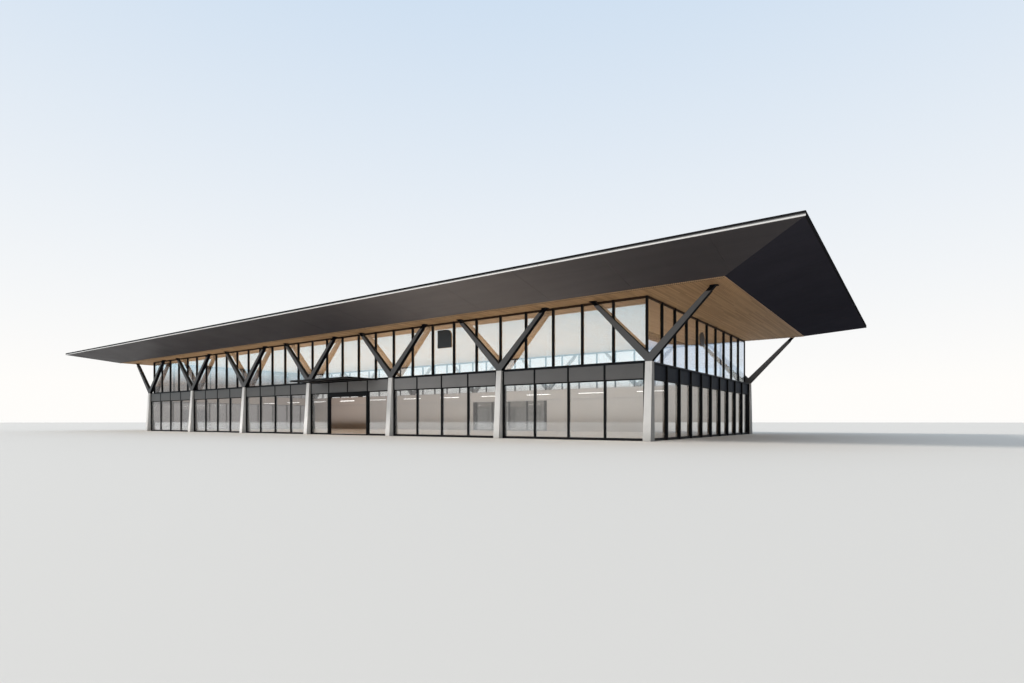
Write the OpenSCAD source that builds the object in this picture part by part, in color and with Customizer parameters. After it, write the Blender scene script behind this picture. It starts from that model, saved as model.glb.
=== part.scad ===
// Railway station hall, a 1:2 scale model: every length is half of the real building's.
// X runs along the long front, -Y faces the forecourt, Z is up.
// The origin is on the ground, under the middle of the roof.

/* [Hall] */
// Number of structural bays along the front
bays = 6; // [3:1:8]
// Column spacing along the front
bay_len = 4500; // [4200:100:4800]
// Depth between the front and back upper glass
hall_dep = 9675; // [8500:100:11000]
// Height of the column tops and of the top of the spandrel band
storey_h = 1950; // [1800:10:2200]
// Height of the underside of the spandrel band
spandrel_z = 1540; // [1400:10:1640]
// Height of the timber ceiling's underside
soffit_z = 3590; // [3300:10:4000]
// Thickness of the hall floor
floor_t = 40; // [30:5:80]

/* [Roof] */
// Timber ceiling overhang beyond the front upper glass
front_over = 845; // [500:5:1200]
// Timber ceiling overhang beyond the back upper glass
back_over = 0; // [0:5:400]
// Timber ceiling overhang beyond the upper glass at both ends
side_over = 2083; // [1800:5:2600]
// Width in plan of the sloping eaves, out to the roof edge
eave_run = 1816; // [1200:5:2200]
// Rise of the eaves from the timber ceiling to the edge trim
eave_rise = 378; // [250:5:600]
// Upright thickness of the sloping eaves panels
eave_t = 60; // [40:5:90]
// Thickness of the timber ceiling
ceiling_t = 60; // [40:5:60]
// Thickness of the roof deck
deck_t = 98; // [60:2:140]
// Width of the deck's cross ribs, one on each column line
rib_w = 150; // [80:10:300]
// Height of the light trim along the roof edge
trim_h = 46; // [30:1:55]
// Height of the dark coping above the trim
coping_h = 44; // [34:1:80]
// Thickness of the trim and coping at the roof edge
edge_t = 20; // [10:1:40]
// Width of the coping's flange on top of the deck
coping_w = 100; // [60:5:200]
// Set-back of the trim and coping from each mitre at the corners
edge_joint = 1; // [1:1:5]

/* [Columns and struts] */
// Column width at the top
col_top_w = 178; // [150:2:200]
// Column width at the base
col_base_w = 204; // [200:2:240]
// Column depth at the top
col_top_d = 144; // [140:2:180]
// Column depth at the base, where the front leans out
col_base_d = 270; // [200:2:340]
// Gap between a column's back and the edge beam behind it
col_gap = 6; // [5:1:20]
// Gap between a column's foot and the mullions beside it
jamb_gap = 5; // [5:1:20]
// Thickness of the panels behind the columns
back_t = 30; // [20:2:40]
// How far the corner columns stand outside the upper glass at both ends
corner_shift = 125; // [100:5:160]
// Depth of the steel struts
strut_d = 134; // [100:2:138]
// Width of each fork at its foot, on the column
strut_foot_w = 178; // [140:2:178]
// Height of the crotch of the fork above the column
strut_crotch = 195; // [150:5:260]
// Distance from the fork's middle to an arm's outer edge at the ceiling
strut_reach = 1605; // [1300:5:1700]
// Level width of an arm where it meets the ceiling
strut_tip_w = 133; // [100:1:160]
// Height of the slimmer head at the top of each arm
head_h = 125; // [80:5:200]
// Step in from an arm's face to its head
head_step = 10; // [4:1:20]
// Thickness of the fork's foot plate
foot_t = 12; // [8:1:20]

/* [Facade] */
// Lower windows in each bay of the long sides
low_per_bay = 4; // [3:1:5]
// Upper windows in each bay of the long sides
up_per_bay = 5; // [4:1:6]
// Windows across each end, in both storeys
end_windows = 10; // [8:1:12]
// How far the lower mullions stand out from the upper glass
low_out = 175; // [160:5:200]
// Depth of the lower mullions
low_mull_d = 105; // [100:5:120]
// How far the lower panes stand behind the mullions' faces on the long sides
pane_set = 27; // [20:1:35]
// How far the spandrel panels stand behind the mullions' faces on the long sides
panel_set = 8; // [4:1:20]
// How much farther behind the mullions' faces the panes, panels and rails stand at both ends
end_set = 41; // [20:1:50]
// Width of all mullions
mull_w = 50; // [40:2:60]
// Depth of the upper mullions
up_mull_d = 60; // [50:2:70]
// Height of the rail on the ground under the lower windows
base_rail_h = 60; // [50:5:120]
// Height of the rail between the lower windows and the spandrel band
transom_h = 26; // [20:2:40]
// Height of the ledge on top of the spandrel band
ledge_h = 34; // [24:2:50]
// How far the ledge stands out from the lower facade
ledge_out = 4; // [1:1:4]
// Height of the sill rail under the upper windows
sill_h = 40; // [30:5:60]
// Height of the head rail over the upper windows
head_rail_h = 50; // [40:5:80]
// Thickness of the window glass
glass_t = 16; // [12:1:20]
// Thickness of the solid wall panels in the back's lower storey
wall_t = 50; // [30:2:60]

/* [Entrance] */
// Number of the bay with the entrance, counted from the left
door_bay = 4; // [2:1:5]
// Width of the entrance posts
post_w = 60; // [50:2:90]
// Depth of the entrance frame
portal_d = 135; // [120:5:160]
// Height of the entrance lintel under the spandrel band
lintel_h = 150; // [80:5:220]
// Length of the entrance canopy
canopy_len = 3200; // [2600:10:3400]
// How far the canopy reaches out from the upper glass
canopy_out = 1420; // [900:10:1600]
// Height of the canopy's edge
canopy_h = 50; // [40:2:80]
// Thickness of the canopy's top plate
canopy_plate = 16; // [10:1:24]
// Width of the canopy's edge beams and ribs
canopy_rim = 40; // [30:2:60]

/* [Hidden] */
hall_len = bays * bay_len;
col_step = (hall_len + 2 * corner_shift) / bays;
jamb_x = col_base_w / 2 + jamb_gap + mull_w / 2;
low_step = (col_step - 2 * jamb_x) / low_per_bay;
up_step = bay_len / up_per_bay;
end_step = hall_dep / end_windows;
roof_dep = hall_dep + front_over + back_over + 2 * eave_run;
front_y = front_over + eave_run - roof_dep / 2;
back_y = front_y + hall_dep;
mid_y = (front_y + back_y) / 2;

ceiling_x = hall_len / 2 + side_over;
ceiling_y0 = front_y - front_over;
ceiling_y1 = back_y + back_over;
panel_run = eave_run - edge_t;
trim_z = soffit_z + eave_rise;
deck_z = trim_z + eave_t;
coping_z = trim_z + trim_h;
roof_z = coping_z + coping_h;

low_back = low_out - low_mull_d;
ledge_z = storey_h - ledge_h;
side_end = hall_dep / 2 + low_back;
beam_end = hall_len / 2 + low_back;
door_x = column_x(door_bay - 0.5);
door_w = 2 * low_step;
door_left = door_x - door_w / 2 - post_w / 2;
door_right = door_x + door_w / 2 + post_w / 2;
back_way = bays - door_bay;
col_back = low_back + col_gap;
strut_y = col_back + col_top_d / 2;

side_low = concat(
    [-side_end + mull_w / 2],
    [for (i = [1 : end_windows - 1]) i * end_step - hall_dep / 2],
    [side_end - mull_w / 2]);
door_low = bay_low(door_bay - 1);
low_left = [for (x = door_low) if (x < door_left) x];
low_right = [for (x = door_low) if (x > door_right) x];
low_door = [for (x = door_low) if (x > door_left && x < door_right) x];
front_up = [for (i = [0 : bays * up_per_bay]) i * up_step - hall_len / 2];
side_up = [for (i = [1 : end_windows - 1]) i * end_step - hall_dep / 2];
side_up_end = hall_dep / 2 - up_mull_d / 2;
side_up_ends = concat([-side_up_end - mull_w / 2], side_up, [side_up_end + mull_w / 2]);
col_x = [for (i = [0 : bays]) column_x(i)];

// Column lines, evenly spaced between the corner columns.
function column_x(i) = (i - bays / 2) * col_step;

// Lower mullions of one bay, from the one beside its first column to the one beside its last.
function bay_low(i) = [for (j = [0 : low_per_bay]) column_x(i) + jamb_x + j * low_step];

// Box given by its low and high corners.
module box(low, high) {
    translate(low) cube(high - low);
}

// Wall frames of reference: x along the wall, -y outwards, the upper glass at y = 0.
module on_front() {
    translate([0, front_y, 0]) children();
}

module on_back() {
    translate([0, back_y, 0]) rotate(180) children();
}

module on_right() {
    translate([hall_len / 2, mid_y, 0]) rotate(90) children();
}

module on_left() {
    translate([-hall_len / 2, mid_y, 0]) rotate(-90) children();
}

// Upright bars at the positions xs, between y0 and y1 and between z0 and z1.
module mullions(xs, y0, y1, z0, z1) {
    for (x = xs) box([x - mull_w / 2, y0, z0], [x + mull_w / 2, y1, z1]);
}

// One slab in each space between neighbouring mullions.
module infill(xs, y0, y1, z0, z1) {
    for (i = [0 : len(xs) - 2])
        box([xs[i] + mull_w / 2, y0, z0], [xs[i + 1] - mull_w / 2, y1, z1]);
}

// Lower window frame from x0 to x1: mullions from the ground to the ledge, a base rail and
// a transom. The rails stand back behind the mullions' faces by set.
module lower_frame(xs, x0, x1, set = 0) {
    mullions(xs, -low_out, -low_back, 0, ledge_z);
    box([x0, -low_out + set, 0], [x1, -low_back, base_rail_h]);
    box([x0, -low_out + set, spandrel_z - transom_h], [x1, -low_back, spandrel_z]);
}

// Lower window frame of one whole bay, between two columns.
module bay_frame(i) {
    xs = bay_low(i);
    lower_frame(xs, xs[0] - mull_w / 2, xs[low_per_bay] + mull_w / 2);
}

// Panels that close the wall behind the columns i0 to i1, on the mullions beside them.
module column_backs(i0, i1) {
    half = jamb_x + mull_w / 2;
    for (i = [i0 : i1])
        box([max(col_x[i] - half, -beam_end), -low_back, floor_t],
            [min(col_x[i] + half, beam_end), -low_back + back_t, spandrel_z]);
}

// Lower window panes, standing back behind the mullions' faces.
module lower_glass(xs, set = 0) {
    y = -low_out + pane_set + set;
    infill(xs, y, y + glass_t, base_rail_h, spandrel_z - transom_h);
}

// Edge beam of the storey, running behind the columns.
module edge_beam(half) {
    box([-half, -low_back, spandrel_z], [half, up_mull_d / 2, storey_h]);
}

// Cladding of the edge beam: a panel between each two mullions and a ledge over them.
module spandrel(xs, set = 0) {
    infill(xs, -low_out + panel_set + set, -low_back, spandrel_z, ledge_z);
    box([xs[0] - mull_w / 2, -low_out - ledge_out, ledge_z],
        [xs[len(xs) - 1] + mull_w / 2, -low_back, storey_h]);
}

// Upper window frame: mullions from the spandrel band to the ceiling, sill and head rail.
module upper_frame(xs, rail_end) {
    d = up_mull_d / 2;
    mullions(xs, -d, d, storey_h, soffit_z);
    box([-rail_end, -d, storey_h], [rail_end, d, storey_h + sill_h]);
    box([-rail_end, -d, soffit_z - head_rail_h], [rail_end, d, soffit_z]);
}

// Upper window panes.
module upper_glass(xs) {
    infill(xs, -glass_t / 2, glass_t / 2, storey_h + sill_h, soffit_z - head_rail_h);
}

// Concrete column, upright at the back, leaning out at the front and wider at its foot.
module column(x) {
    intersection() {
        translate([x - col_base_w / 2, 0, 0]) rotate([90, 0, 90])
            linear_extrude(col_base_w)
                polygon([[-col_back, 0], [-col_back, storey_h],
                         [-col_back - col_top_d, storey_h], [-col_back - col_base_d, 0]]);
        translate([x, 0, 0]) rotate([90, 0, 0])
            linear_extrude(col_back + col_base_d)
                polygon([[-col_base_w / 2, 0], [col_base_w / 2, 0],
                         [col_top_w / 2, storey_h], [-col_top_w / 2, storey_h]]);
    }
}

// Outline of one fork from its foot plate up to the height z1, stepped in by inset.
module fork_outline(z1, inset) {
    rise = soffit_z - storey_h;
    outer = (strut_reach - strut_foot_w / 2) / rise;
    inner = (strut_reach - strut_tip_w) / (rise - strut_crotch);
    foot = strut_foot_w / 2 - inset;
    polygon([[-foot, foot_t], [foot, foot_t],
             [foot + outer * z1, z1], [inner * (z1 - strut_crotch) + inset, z1],
             [0, strut_crotch + inset],
             [-inner * (z1 - strut_crotch) - inset, z1], [-foot - outer * z1, z1]]);
}

// Steel fork on a column top: foot plate, two tapering arms and their slimmer heads.
// The heads run up to the roof's underside, which slopes beyond the ceiling's edge.
module fork(x, over) {
    rise = soffit_z - storey_h;
    top = rise + eave_rise;
    difference() {
        translate([x, -strut_y, storey_h]) {
            box([-strut_foot_w / 2, -strut_d / 2, 0], [strut_foot_w / 2, strut_d / 2, foot_t]);
            translate([0, strut_d / 2, 0]) rotate([90, 0, 0])
                linear_extrude(strut_d) fork_outline(rise - head_h, 0);
            translate([0, strut_d / 2 - head_step, 0]) rotate([90, 0, 0])
                linear_extrude(strut_d - 2 * head_step) fork_outline(top, head_step);
        }
        translate([x - 2 * strut_reach, 0, 0]) rotate([90, 0, 90])
            linear_extrude(4 * strut_reach)
                polygon([[eave_run, soffit_z], [-over, soffit_z],
                         [-over - eave_run, soffit_z + eave_rise * eave_run / panel_run],
                         [-over - eave_run, roof_z + eave_run], [eave_run, roof_z + eave_run]]);
    }
}

// Frames of reference on the ceiling's edges: x along the edge, -y outwards.
module on_edge(side) {
    mid = (ceiling_y0 + ceiling_y1) / 2;
    if (side == "front") translate([0, ceiling_y0, 0]) children();
    if (side == "back") translate([0, ceiling_y1, 0]) rotate(180) children();
    if (side == "left") translate([-ceiling_x, mid, 0]) rotate(-90) children();
    if (side == "right") translate([ceiling_x, mid, 0]) rotate(90) children();
}

// Half the length of the ceiling's edge on a side.
function edge_half(side) =
    side == "front" || side == "back" ? ceiling_x : (ceiling_y1 - ceiling_y0) / 2;

// A section swept along one side of the ceiling and mitred at both corners.
// It lies between the distances u0 and u1 from the edge; joint opens the mitres.
module mitred_run(side, section, u0, u1, joint = 0) {
    half = edge_half(side) - joint;
    on_edge(side) intersection() {
        translate([-half - u1, 0, 0]) rotate([90, 0, 90])
            linear_extrude(2 * (half + u1)) polygon(section);
        linear_extrude(roof_z + 1)
            polygon([[-half - u0, -u0], [half + u0, -u0], [half + u1, -u1], [-half - u1, -u1]]);
    }
}

// Sloping eaves panel, from the ceiling's edge up and out to the roof edge.
module eave(side) {
    mitred_run(side, [[0, soffit_z], [0, soffit_z + eave_t],
                      [-panel_run, deck_z], [-panel_run, trim_z]], 0, panel_run);
}

// Half of the deck's width beyond the ceiling's edge, at height z, where it meets the eaves.
function deck_u(z) = (z - soffit_z - eave_t) * panel_run / eave_rise;

module floor_slab() {
    color("gray")
        box([-hall_len / 2 - low_back, front_y - low_back, 0],
            [hall_len / 2 + low_back, back_y + low_back, floor_t]);
}

module front_frame_left() {
    color("dimgray") on_front() {
        for (i = [0 : door_bay - 2]) bay_frame(i);
        lower_frame(low_left, low_left[0] - mull_w / 2, door_left);
        column_backs(0, door_bay - 1);
    }
}

module front_frame_right() {
    color("dimgray") on_front() {
        lower_frame(low_right, door_right, low_right[len(low_right) - 1] + mull_w / 2);
        for (i = [door_bay : bays - 1]) bay_frame(i);
        column_backs(door_bay, bays);
    }
}

module entrance_portal() {
    y0 = -low_back - portal_d;
    x = door_w / 2;
    color("black") on_front() {
        for (s = [-1, 1])
            box([door_x + s * x - post_w / 2, y0, 0],
                [door_x + s * x + post_w / 2, -low_back, spandrel_z]);
        box([door_x - x, y0, spandrel_z - lintel_h], [door_x + x, -low_back, spandrel_z]);
        box([door_x - x, y0, 0], [door_x + x, -low_back, floor_t]);
        mullions(low_door, -low_out, -low_back, spandrel_z, ledge_z);
    }
}

module entrance_canopy() {
    y1 = -low_out - ledge_out;
    z1 = storey_h;
    ribs = 4;
    color("black") on_front() translate([door_x - canopy_len / 2, 0, 0]) {
        box([0, -canopy_out, z1 - canopy_plate], [canopy_len, y1, z1]);
        box([0, -canopy_out, z1 - canopy_h], [canopy_len, -canopy_out + canopy_rim, z1]);
        for (i = [0 : ribs]) {
            x = i * (canopy_len - canopy_rim) / ribs;
            box([x, -canopy_out, z1 - canopy_h], [x + canopy_rim, y1, z1]);
        }
    }
}

module back_lower_frame() {
    color("dimgray") on_back() {
        for (i = [0 : bays - 1]) bay_frame(i);
        column_backs(0, bays);
    }
}

// Solid lower storey at the back, but for the glazed bay opposite the entrance.
module back_wall() {
    color("tan") on_back()
        for (i = [0 : bays - 1]) if (i != back_way)
            infill(bay_low(i), -low_back - wall_t, -low_back,
                   base_rail_h, spandrel_z - transom_h);
}

module left_lower_frame() {
    color("dimgray") on_left() lower_frame(side_low, -side_end, side_end, end_set);
}

module right_lower_frame() {
    color("dimgray") on_right() lower_frame(side_low, -side_end, side_end, end_set);
}

module front_spandrel() {
    color("slategray") on_front() {
        edge_beam(beam_end);
        for (i = [0 : bays - 1]) spandrel(bay_low(i));
    }
}

module back_spandrel() {
    color("slategray") on_back() {
        edge_beam(beam_end);
        for (i = [0 : bays - 1]) spandrel(bay_low(i));
    }
}

module left_spandrel() {
    color("darkslategray") on_left() {
        edge_beam(side_up_end);
        spandrel(side_low, end_set);
    }
}

module right_spandrel() {
    color("darkslategray") on_right() {
        edge_beam(side_up_end);
        spandrel(side_low, end_set);
    }
}

module front_upper_frame() {
    color("dimgray") on_front() upper_frame(front_up, hall_len / 2);
}

module back_upper_frame() {
    color("dimgray") on_back() upper_frame(front_up, hall_len / 2);
}

module left_upper_frame() {
    color("dimgray") on_left() upper_frame(side_up, side_up_end);
}

module right_upper_frame() {
    color("dimgray") on_right() upper_frame(side_up, side_up_end);
}

module front_glass() {
    color("lightblue", 0.4) on_front() {
        for (i = [0 : bays - 1]) if (i != door_bay - 1) lower_glass(bay_low(i));
        lower_glass(concat(low_left, [door_left + mull_w / 2]));
        lower_glass(concat([door_right - mull_w / 2], low_right));
        upper_glass(front_up);
    }
}

module back_glass() {
    color("lightblue", 0.4) on_back() {
        lower_glass(bay_low(back_way));
        upper_glass(front_up);
    }
}

module left_glass() {
    color("lightblue", 0.4) on_left() {
        lower_glass(side_low, end_set);
        upper_glass(side_up_ends);
    }
}

module right_glass() {
    color("lightblue", 0.4) on_right() {
        lower_glass(side_low, end_set);
        upper_glass(side_up_ends);
    }
}

module front_column(i) {
    color("lightgray") on_front() column(col_x[i]);
}

module back_column(i) {
    color("lightgray") on_back() column(-col_x[i]);
}

module front_struts() {
    color("dimgray") on_front() for (x = col_x) fork(x, front_over);
}

module back_struts() {
    color("dimgray") on_back() for (x = col_x) fork(x, back_over);
}

module timber_ceiling() {
    color("peru")
        box([-ceiling_x, ceiling_y0, soffit_z], [ceiling_x, ceiling_y1, soffit_z + ceiling_t]);
}

module front_eave() {
    color("darkslategray") eave("front");
}

module back_eave() {
    color("darkslategray") eave("back");
}

module left_eave() {
    color("darkslategray") eave("left");
}

module right_eave() {
    color("darkslategray") eave("right");
}

// Deck with sloped edges that lie on the eaves, and cross ribs down to the ceiling.
module roof_deck() {
    under = deck_z - deck_t;
    u0 = deck_u(under);
    u1 = deck_u(deck_z);
    color("gray") {
        intersection() {
            translate([0, ceiling_y1 + u1, 0]) rotate([90, 0, 0])
                linear_extrude(ceiling_y1 - ceiling_y0 + 2 * u1)
                    polygon([[-ceiling_x - u0, under], [ceiling_x + u0, under],
                             [ceiling_x + u1, deck_z], [-ceiling_x - u1, deck_z]]);
            translate([-ceiling_x - u1, 0, 0]) rotate([90, 0, 90])
                linear_extrude(2 * (ceiling_x + u1))
                    polygon([[ceiling_y0 - u0, under], [ceiling_y1 + u0, under],
                             [ceiling_y1 + u1, deck_z], [ceiling_y0 - u1, deck_z]]);
        }
        for (i = [0 : bays]) {
            x = (i - bays / 2) * bay_len;
            box([x - rib_w / 2, ceiling_y0, soffit_z + ceiling_t],
                [x + rib_w / 2, ceiling_y1, under + deck_t / 2]);
        }
    }
}

module edge_trim() {
    color("silver")
        for (side = ["front", "back", "left", "right"])
            mitred_run(side, [[-panel_run, trim_z], [-eave_run, trim_z],
                              [-eave_run, coping_z], [-panel_run, coping_z]],
                       panel_run, eave_run, edge_joint);
}

// Coping with a flange on the deck and a lip over the trim.
module edge_coping() {
    inner = panel_run - coping_w;
    color("black")
        for (side = ["front", "back", "left", "right"])
            mitred_run(side, [[-inner, deck_z], [-panel_run, deck_z], [-panel_run, coping_z],
                              [-eave_run, coping_z], [-eave_run, roof_z], [-inner, roof_z]],
                       inner, eave_run, edge_joint);
}

floor_slab();
front_frame_left();
front_frame_right();
entrance_portal();
entrance_canopy();
back_lower_frame();
back_wall();
left_lower_frame();
right_lower_frame();
front_spandrel();
back_spandrel();
left_spandrel();
right_spandrel();
front_upper_frame();
back_upper_frame();
left_upper_frame();
right_upper_frame();
front_glass();
back_glass();
left_glass();
right_glass();
for (i = [0 : bays]) front_column(i);
for (i = [0 : bays]) back_column(i);
front_struts();
back_struts();
timber_ceiling();
front_eave();
back_eave();
left_eave();
right_eave();
roof_deck();
edge_trim();
edge_coping();
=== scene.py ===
import math
import bpy
import bmesh
from mathutils import Matrix, Vector


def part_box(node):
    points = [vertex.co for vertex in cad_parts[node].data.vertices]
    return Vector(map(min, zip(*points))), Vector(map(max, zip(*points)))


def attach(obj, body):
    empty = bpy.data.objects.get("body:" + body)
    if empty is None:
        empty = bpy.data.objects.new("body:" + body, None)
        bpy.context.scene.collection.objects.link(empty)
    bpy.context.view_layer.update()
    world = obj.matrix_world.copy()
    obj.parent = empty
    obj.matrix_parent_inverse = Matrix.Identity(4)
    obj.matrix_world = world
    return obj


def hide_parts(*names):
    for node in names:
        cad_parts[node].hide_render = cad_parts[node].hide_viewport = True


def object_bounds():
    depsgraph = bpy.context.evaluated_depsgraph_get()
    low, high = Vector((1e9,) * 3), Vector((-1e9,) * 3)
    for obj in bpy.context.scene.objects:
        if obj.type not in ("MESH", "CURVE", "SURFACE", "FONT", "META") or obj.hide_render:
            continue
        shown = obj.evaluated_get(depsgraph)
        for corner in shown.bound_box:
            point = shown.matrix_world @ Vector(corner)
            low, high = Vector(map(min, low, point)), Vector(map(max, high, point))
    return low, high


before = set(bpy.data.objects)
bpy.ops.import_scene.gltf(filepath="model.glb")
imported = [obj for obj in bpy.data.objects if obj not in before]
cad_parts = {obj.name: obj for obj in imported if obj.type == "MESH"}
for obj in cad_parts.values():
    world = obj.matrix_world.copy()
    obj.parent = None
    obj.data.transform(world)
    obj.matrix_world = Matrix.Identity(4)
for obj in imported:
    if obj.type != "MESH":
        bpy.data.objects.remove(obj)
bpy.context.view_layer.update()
scene = bpy.context.scene
print("frame loaded:", len(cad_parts), "nodes")

# Main sizes in metres. X runs along the front, -Y faces the forecourt, Z is up.
hall = {"bays": 6, "length": 27.0, "depth": 9.675, "frontY": -4.415, "storey": 1.95,
        "spandrel": 1.54, "soffit": 3.59, "floor": 0.04, "cornerShift": 0.125, "wayBay": 2}
facade = {"out": 0.175, "back": 0.07, "width": 0.05, "jamb": 0.132, "baseRail": 0.06,
          "transom": 0.026, "ledge": 0.034, "ledgeOut": 0.004, "paneSet": 0.027,
          "panelSet": 0.008, "endSet": 0.041, "columnPanel": 0.03, "wallPanel": 0.05,
          "sill": 0.04, "headRail": 0.05, "upperHalf": 0.03, "glass": 0.016,
          "lowerPerBay": 4, "upperPerBay": 5, "endWindows": 10}
door = {"bay": 3, "post": 0.06, "depth": 0.135, "lintel": 0.15}

floorZ, bandZ, storeyZ, soffitZ = (hall[key] for key in ("floor", "spandrel", "storey", "soffit"))
bays = hall["bays"]
halfLen, halfDep = hall["length"] / 2, hall["depth"] / 2
backY = hall["frontY"] + hall["depth"]
midY = (hall["frontY"] + backY) / 2
halfBar = facade["width"] / 2
ledgeZ = storeyZ - facade["ledge"]
columnStep = (hall["length"] + 2 * hall["cornerShift"]) / bays
lowerStep = (columnStep - 2 * facade["jamb"]) / facade["lowerPerBay"]
beamEnd, endOfSide = halfLen + facade["back"], halfDep + facade["back"]
upperStop = halfDep - facade["upperHalf"]
frameOut, frameBack = -facade["out"], -facade["back"]
lowerZ = (facade["baseRail"], bandZ - facade["transom"])
upperZ = (storeyZ + facade["sill"], soffitZ - facade["headRail"])


# Each wall is made with x along it, -y outwards and the upper glass at y = 0, then placed.
walls = {name: Matrix.Translation((x, y, 0)) @ Matrix.Rotation(math.radians(turn), 4, "Z")
         for name, x, y, turn in (("front", 0, hall["frontY"], 0), ("back", 0, backY, 180),
                                  ("right", halfLen, midY, 90), ("left", -halfLen, midY, -90))}


def evenLine(half, count):
    return [-half + 2 * half * i / count for i in range(count + 1)]


def columnX(i):
    return (i - bays / 2) * columnStep


def bayBars(i):
    first = columnX(i) + facade["jamb"]
    return [first + j * lowerStep for j in range(facade["lowerPerBay"] + 1)]


# A run is a row of mullions with the two ends of its rails.
def newRun(xs, x0=None, x1=None):
    return (xs, xs[0] - halfBar if x0 is None else x0, xs[-1] + halfBar if x1 is None else x1)


# The clear spaces between the mullions of a run.
def spaces(run):
    xs, x0, x1 = run
    edges = [x0] + [x + side * halfBar for x in xs for side in (-1, 1)] + [x1]
    return [(a, b) for a, b in zip(edges[::2], edges[1::2]) if b - a > 0.01]


doorX = columnX(door["bay"] + 0.5)
doorLeft = doorX - lowerStep - door["post"] / 2
doorRight = doorX + lowerStep + door["post"] / 2
bayRuns = [newRun(bayBars(i)) for i in range(bays)]
doorBars = bayBars(door["bay"])
leftRuns = bayRuns[:door["bay"]] + [newRun(doorBars[:1], x1=doorLeft)]
rightRuns = [newRun(doorBars[-1:], x0=doorRight)] + bayRuns[door["bay"] + 1:]
endLines = evenLine(halfDep, facade["endWindows"])[1:-1]
endRun = newRun([-endOfSide + halfBar] + endLines + [endOfSide - halfBar])
longUpper = newRun(evenLine(halfLen, bays * facade["upperPerBay"]), -halfLen, halfLen)
endUpper = newRun(endLines, -upperStop, upperStop)


# Starts a group; the kind of each input follows from its default value.
def newGroup(name, **inputs):
    group = bpy.data.node_groups.new(name, "ShaderNodeTree")
    kinds = {3: "NodeSocketVector", 4: "NodeSocketColor"}
    for label, value in inputs.items():
        kind = kinds[len(value)] if isinstance(value, tuple) else "NodeSocketFloat"
        socket = group.interface.new_socket(name=label.replace("_", " "), in_out="INPUT",
                                            socket_type=kind)
        socket.default_value = value
    return group, group.nodes.new("NodeGroupInput").outputs


# Gives a group its outputs, of which only Color is a colour.
def closeGroup(group, **results):
    out = group.nodes.new("NodeGroupOutput")
    for label, value in results.items():
        kind = "NodeSocketColor" if label == "Color" else "NodeSocketFloat"
        group.interface.new_socket(name=label, in_out="OUTPUT", socket_type=kind)
        group.links.new(value, out.inputs[label])
    return group


# Links a socket or sets a plain value; a colour may come without its alpha.
def setSocket(tree, socket, value):
    if isinstance(value, bpy.types.NodeSocket):
        tree.links.new(value, socket)
    elif socket.type == "RGBA" and len(value) == 3:
        socket.default_value = (*value, 1)
    else:
        socket.default_value = value


# Adds a shader node; inputs are given by name, or as i0, i1 and so on by number.
def addNode(tree, kind, settings=(), **inputs):
    node = tree.nodes.new("ShaderNode" + kind)
    for key, value in dict(settings).items():
        setattr(node, key, value)
    for key, value in inputs.items():
        byNumber = key[0] == "i" and key[1:].isdigit()
        label = int(key[1:]) if byNumber else key.replace("_", " ")
        setSocket(tree, node.inputs[label], value)
    return node


def groupNode(tree, group, **inputs):
    return addNode(tree, "Group", {"node_tree": group}, **inputs).outputs


def calc(tree, operation, first, second=0.0, third=0.0):
    node = addNode(tree, "Math", {"operation": operation}, i0=first, i1=second, i2=third)
    return node.outputs[0]


def times(tree, value, factor, plus=None):
    if plus is None:
        return calc(tree, "MULTIPLY", value, factor)
    return calc(tree, "MULTIPLY_ADD", value, factor, plus)


def minus(tree, first, second):
    return calc(tree, "SUBTRACT", first, second)


def over(tree, value, by):
    return calc(tree, "DIVIDE", value, by)


def vectorCalc(tree, operation, first, second):
    node = addNode(tree, "VectorMath", {"operation": operation}, i0=first, i1=second)
    return node.outputs["Value" if operation == "DOT_PRODUCT" else "Vector"]


def mixColor(tree, factor, first, second):
    node = addNode(tree, "Mix", {"data_type": "RGBA"}, i0=factor, i6=first, i7=second)
    return node.outputs[2]


def objectPlace(tree):
    return addNode(tree, "TexCoord").outputs["Object"]


def axisOf(tree, vector, axis):
    return addNode(tree, "SeparateXYZ", Vector=vector).outputs[axis]


def noise(tree, place, scale, detail=2.0, rough=0.5):
    return addNode(tree, "TexNoise", Vector=place, Scale=scale, Detail=detail,
                   Roughness=rough).outputs["Fac"]


def chanceAt(tree, dimensions, **place):
    settings = {"noise_dimensions": dimensions}
    return addNode(tree, "TexWhiteNoise", settings, **place).outputs["Value"]


def clamped(tree, value):
    return addNode(tree, "Clamp", Value=value).outputs[0]


# A straight ramp, held between 0 and 1.
def ramp(tree, value, slope, start):
    return clamped(tree, times(tree, value, slope, start))


plainGrey = (0.5, 0.5, 0.5, 1)


# Cloudy tone and fine speckle, for every painted or cast surface.
def makeMottle():
    tree, given = newGroup("mottle", Color=plainGrey, Cloud=0.2, Cloud_size=1.0, Speckle=0.1,
                           Speckle_size=60.0, Rough=0.5)
    place = objectPlace(tree)
    big = minus(tree, noise(tree, place, given["Cloud size"], 4.0, 0.6), 0.5)
    fine = noise(tree, place, given["Speckle size"])
    cloud = times(tree, big, times(tree, given["Cloud"], 2.0), 1.0)
    dots = times(tree, minus(tree, fine, 0.5), given["Speckle"], cloud)
    tone = addNode(tree, "VectorMath", {"operation": "SCALE"}, i0=given["Color"], Scale=dots)
    rough = times(tree, big, 0.25, given["Rough"])
    return closeGroup(tree, Color=tone.outputs[0], Roughness=rough, Height=fine)


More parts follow.
